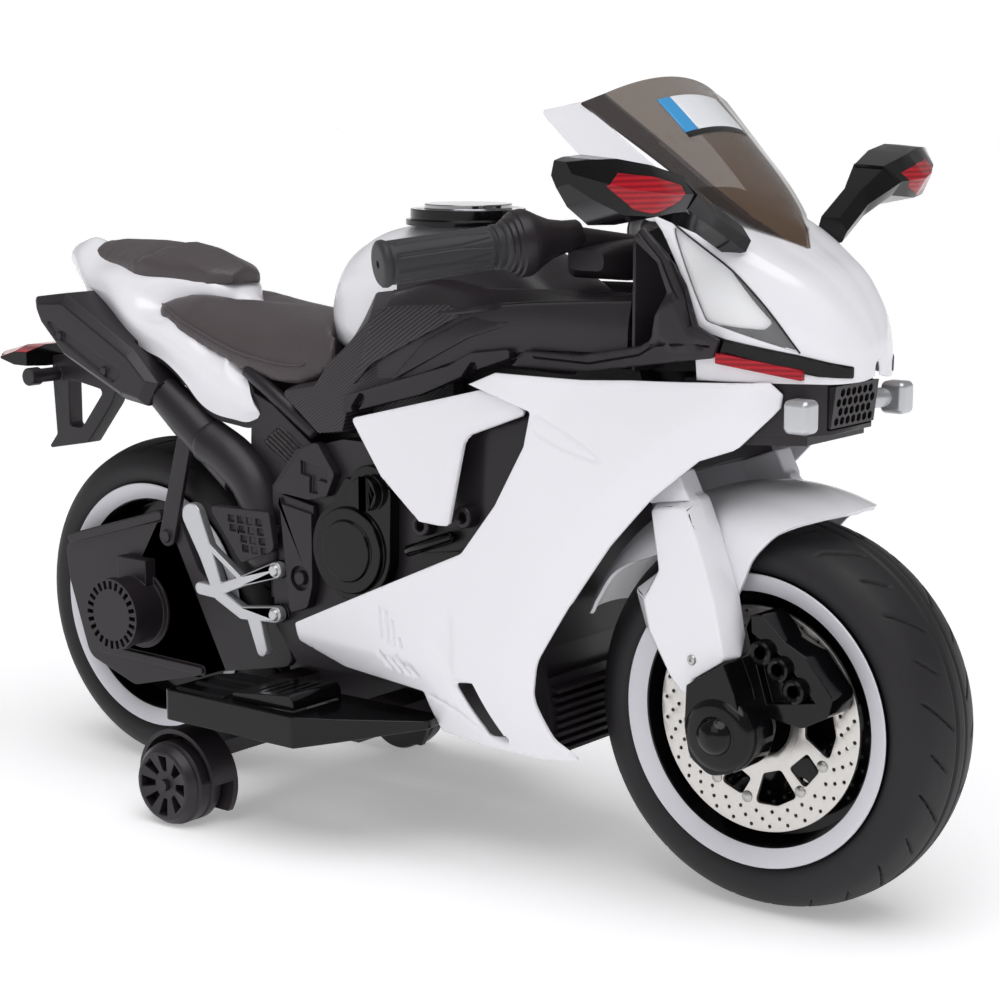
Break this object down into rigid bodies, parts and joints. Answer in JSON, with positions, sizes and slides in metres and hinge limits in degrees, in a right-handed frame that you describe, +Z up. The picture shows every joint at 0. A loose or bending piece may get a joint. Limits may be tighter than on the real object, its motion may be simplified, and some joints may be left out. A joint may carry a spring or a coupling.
{
  "type": "kids electric motorbike",
  "caption": "Child's battery sport motorbike with steering fork, faired body, sewn seat, footboards with a foot pedal, and small training wheels beside the rear wheel.",
  "frame": {"origin": "on the floor under the middle of the bike's length and width", "axes": "+X forward to the front wheel, +Y to the rider's left, +Z up"},
  "size_m": [1.087, 0.524, 0.663],
  "materials": {
    "white_shell": "gloss injection-moulded white",
    "black_shell": "fine-textured black",
    "black_gloss": "gloss black",
    "dark_frame": "matt black",
    "tyre_black": "matt",
    "grip_rubber": "ribbed matt",
    "steel": "turned",
    "silver_shell": "satin silver",
    "disc_silver": "bright",
    "cap_chrome": "bright",
    "lamp_clear": "clear lens",
    "lamp_red": "red lens",
    "screen_smoked": "smoked sheet",
    "seat_cover": "sewn leatherette",
    "fog_silver": "silver lens"
  },
  "bodies": {
    "chassis": {"main_frame": "dark_frame", "engine_block": "dark_frame", "clutch_covers": "black_gloss", "engine_side_covers": "black_shell", "frame_spars": "black_shell", "tank_top": "white_shell", "tank_sides": "black_shell", "fuel_cap": "cap_chrome", "side_fairing_right": "white_shell", "side_fairing_left": "white_shell", "infill_panels": "white_shell", "belly_shroud": "dark_frame", "nose_cowl": "white_shell", "windscreen": "screen_smoked", "headlights": "lamp_clear", "running_lamps": "lamp_red", "fog_lamps": "fog_silver", "nose_grille": "black_shell", "nose_beam": "black_shell", "nose_side_frames": "black_shell", "mirror_right": "black_gloss", "mirror_left": "black_gloss", "mirror_lenses": "lamp_red", "seat": "seat_cover", "tail_cowl": "white_shell", "pillion_pad": "seat_cover", "silencers": "black_shell", "exhaust_pipes": "black_shell", "tail_lamp": "lamp_red", "plate_bracket": "black_shell", "rear_struts": "dark_frame", "swingarms": "dark_frame", "drive_motors": "dark_frame", "motor_caps": "black_shell", "footrest_hangers": "silver_shell", "heel_guards": "black_shell", "footboard_right": "black_gloss", "footboard_left": "black_gloss", "training_brackets": "dark_frame", "battery": "dark_frame", "control_box": "dark_frame", "dash_panel": "black_shell", "rear_axle": "steel"},
    "steering": {"steering_stem": "steel", "handlebar": "black_shell", "grips": "grip_rubber", "fork_sleeves": "white_shell", "fork_feet": "black_gloss", "mudguard": "white_shell", "front_axle": "steel"},
    "front_wheel": {"front_rim": "black_shell", "front_tyre": "tyre_black", "brake_discs": "disc_silver"},
    "rear_wheel": {"rear_rim": "black_shell", "rear_tyre": "tyre_black"},
    "training_right": {"training_wheel_right": "black_shell"},
    "training_left": {"training_wheel_left": "black_shell"},
    "pedal": {"foot_pedal": "black_gloss"},
    "power_rocker": {"power_switch": "black_gloss"},
    "direction_rocker": {"direction_switch": "black_gloss"}
  },
  "joints": [
    {"name": "steering_turn", "type": "hinge", "parent": "chassis", "child": "steering", "pos_m": [0.3755, 0, 0.16], "axis": [-0.342, 0, 0.9397], "range_deg": [-25, 25]},
    {"name": "front_wheel_spin", "type": "hinge", "parent": "steering", "child": "front_wheel", "pos_m": [0.3835, 0, 0.16], "axis": [0, 1, 0], "continuous": true},
    {"name": "rear_wheel_spin", "type": "hinge", "parent": "chassis", "child": "rear_wheel", "pos_m": [-0.2985, 0, 0.16], "axis": [0, 1, 0], "continuous": true},
    {"name": "training_right_spin", "type": "hinge", "parent": "chassis", "child": "training_right", "pos_m": [-0.1505, -0.161, 0.038], "axis": [0, 1, 0], "continuous": true},
    {"name": "training_left_spin", "type": "hinge", "parent": "chassis", "child": "training_left", "pos_m": [-0.1505, 0.161, 0.038], "axis": [0, 1, 0], "continuous": true},
    {"name": "pedal_press", "type": "hinge", "parent": "chassis", "child": "pedal", "pos_m": [-0.0695, -0.135, 0.13], "axis": [0, 1, 0], "range_deg": [0, 7], "stiffness_Nm_per_rad": 2, "springref_deg": -5.73},
    {"name": "power_rock", "type": "hinge", "parent": "chassis", "child": "power_rocker", "pos_m": [0.2895, -0.028, 0.516], "axis": [0, 1, 0], "range_deg": [-8, 8]},
    {"name": "direction_rock", "type": "hinge", "parent": "chassis", "child": "direction_rocker", "pos_m": [0.2895, 0.028, 0.516], "axis": [0, 1, 0], "range_deg": [-8, 8]}
  ]
}
